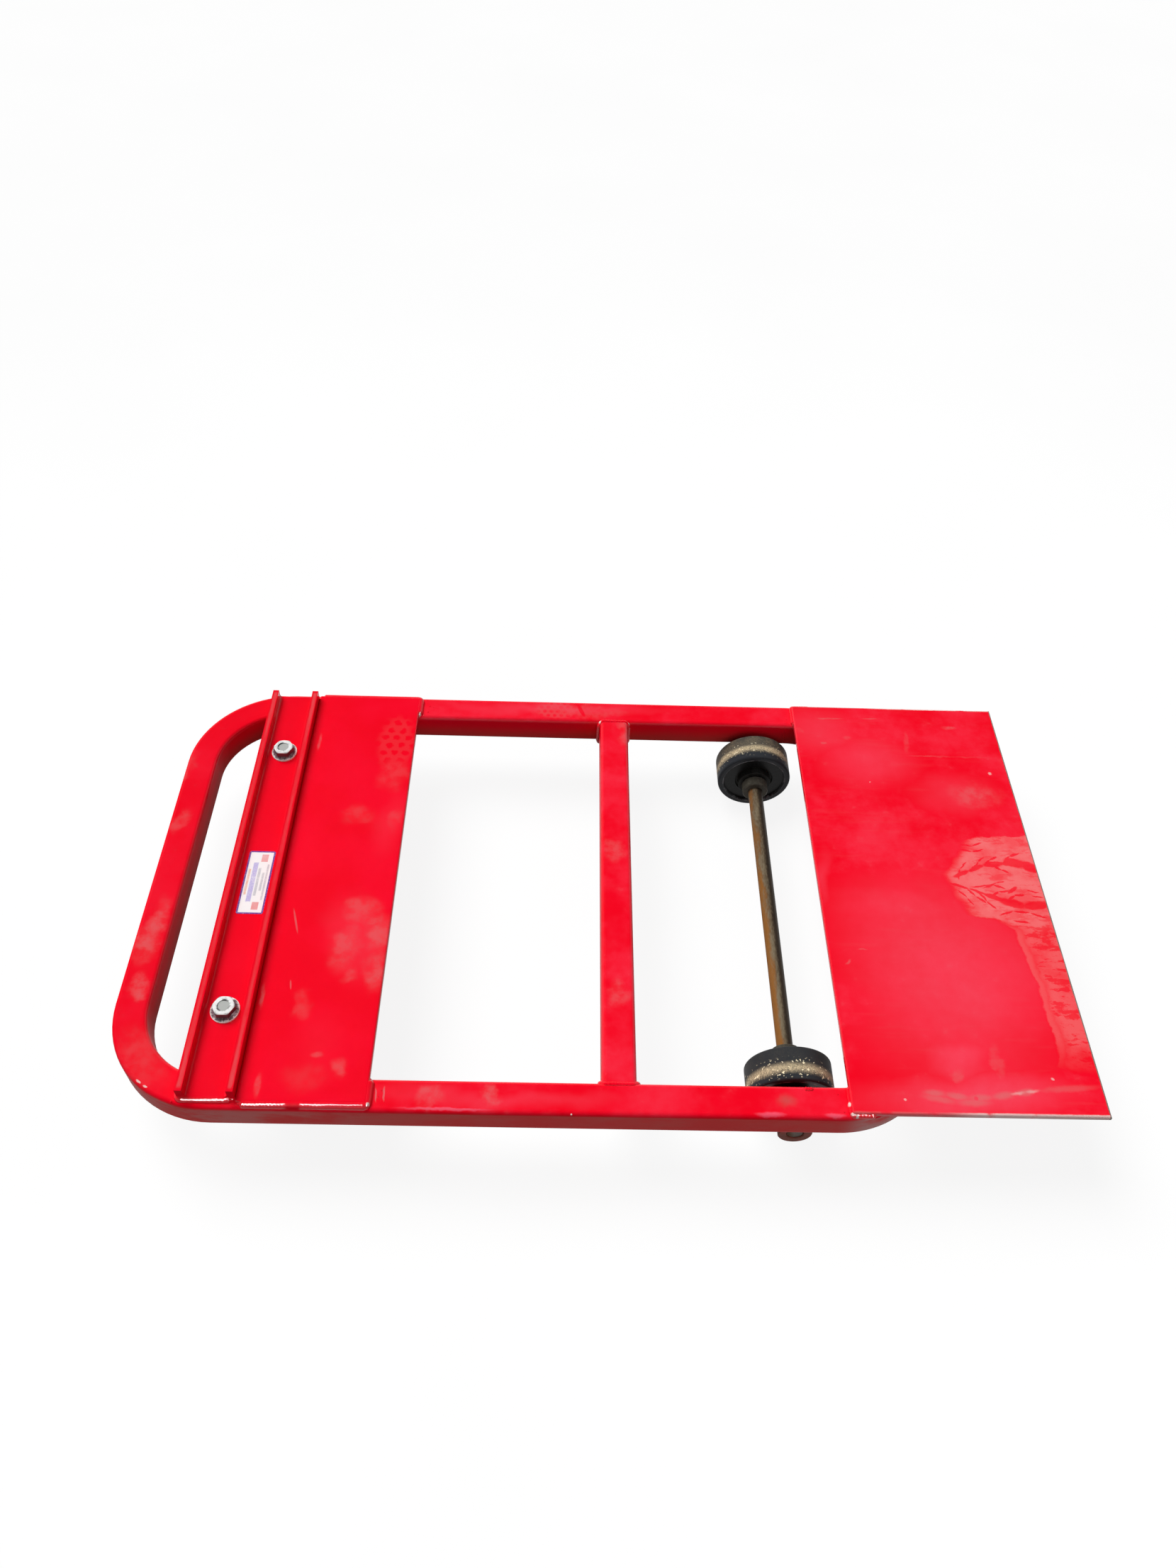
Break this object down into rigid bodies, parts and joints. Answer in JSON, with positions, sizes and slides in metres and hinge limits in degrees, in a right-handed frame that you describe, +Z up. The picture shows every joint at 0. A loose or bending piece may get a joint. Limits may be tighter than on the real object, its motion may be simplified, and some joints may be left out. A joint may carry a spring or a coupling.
{
  "type": "file dolly",
  "caption": "Low welded tube dolly with a hand slot, flat deck and nose plates, fixed load wheels on a cross axle and swivel casters under the handle end.",
  "frame": {"origin": "on the floor, under the middle of the object's box", "axes": "+X from the handle towards the nose plate, +Y across the rails, +Z up"},
  "size_m": [0.9036, 0.508, 0.1044],
  "materials": {
    "red_paint": "glossy red paint over steel, scuffed",
    "axle_steel": "bare steel with surface rust",
    "collar_steel": "dull dark steel",
    "dark_steel": "black oxide",
    "bolt_zinc": "bright zinc plate",
    "caster_zinc": "zinc-plated pressing",
    "ball_steel": "polished",
    "spacer_steel": "turned",
    "tyre_rubber": "moulded hard rubber, dusty tread",
    "hub_iron": "dark painted iron",
    "caster_hub_plastic": "moulded",
    "bush_bronze": "oiled sintered bronze"
  },
  "bodies": {
    "frame": {"handle_bow": "red_paint", "nose_bow": "red_paint", "cross_bar": "red_paint", "deck_plate": "red_paint", "caster_channel": "red_paint", "nose_plate": "red_paint", "axle": "axle_steel", "axle_sleeve_near": "red_paint", "axle_sleeve_far": "red_paint", "axle_pin_near": "dark_steel", "axle_pin_far": "dark_steel", "thrust_washer_near": "collar_steel", "thrust_washer_far": "collar_steel", "set_collar_near": "collar_steel", "set_collar_far": "collar_steel", "grub_screw_near": "dark_steel", "grub_screw_far": "dark_steel", "king_bolt_near": "bolt_zinc", "king_bolt_far": "bolt_zinc", "king_nut_near": "bolt_zinc", "king_nut_far": "bolt_zinc", "king_sleeve_near": "caster_zinc", "king_sleeve_far": "caster_zinc", "race_cup_near": "caster_zinc", "race_cup_far": "caster_zinc"},
    "load_wheel_near": {"wheel_tyre_near": "tyre_rubber", "wheel_hub_near": "hub_iron", "wheel_bush_near": "bush_bronze"},
    "caster_near": {"caster_fork_near": "caster_zinc", "race_balls_near": "ball_steel", "pivot_bolt_near": "bolt_zinc", "pivot_nut_near": "bolt_zinc", "pivot_spacer_near": "spacer_steel"},
    "caster_wheel_near": {"caster_tyre_near": "tyre_rubber", "caster_hub_near": "caster_hub_plastic", "caster_bush_near": "bush_bronze"},
    "load_wheel_far": {"wheel_tyre_far": "tyre_rubber", "wheel_hub_far": "hub_iron", "wheel_bush_far": "bush_bronze"},
    "caster_far": {"caster_fork_far": "caster_zinc", "race_balls_far": "ball_steel", "pivot_bolt_far": "bolt_zinc", "pivot_nut_far": "bolt_zinc", "pivot_spacer_far": "spacer_steel"},
    "caster_wheel_far": {"caster_tyre_far": "tyre_rubber", "caster_hub_far": "caster_hub_plastic", "caster_bush_far": "bush_bronze"}
  },
  "joints": [
    {"name": "load_wheel_near_spin", "type": "hinge", "parent": "frame", "child": "load_wheel_near", "pos_m": [0.17827, -0.1961, 0.04127], "axis": [0, 1, 0], "continuous": true},
    {"name": "caster_near_swivel", "type": "hinge", "parent": "frame", "child": "caster_near", "pos_m": [-0.3471, -0.16, 0.08], "axis": [0, 0, 1], "continuous": true},
    {"name": "caster_wheel_near_spin", "type": "hinge", "parent": "caster_near", "child": "caster_wheel_near", "pos_m": [-0.3261, -0.16, 0.03175], "axis": [0, 1, 0], "continuous": true},
    {"name": "load_wheel_far_spin", "type": "hinge", "parent": "frame", "child": "load_wheel_far", "pos_m": [0.17827, 0.1961, 0.04127], "axis": [0, 1, 0], "continuous": true},
    {"name": "caster_far_swivel", "type": "hinge", "parent": "frame", "child": "caster_far", "pos_m": [-0.3471, 0.16, 0.08], "axis": [0, 0, 1], "continuous": true},
    {"name": "caster_wheel_far_spin", "type": "hinge", "parent": "caster_far", "child": "caster_wheel_far", "pos_m": [-0.3261, 0.16, 0.03175], "axis": [0, 1, 0], "continuous": true}
  ]
}
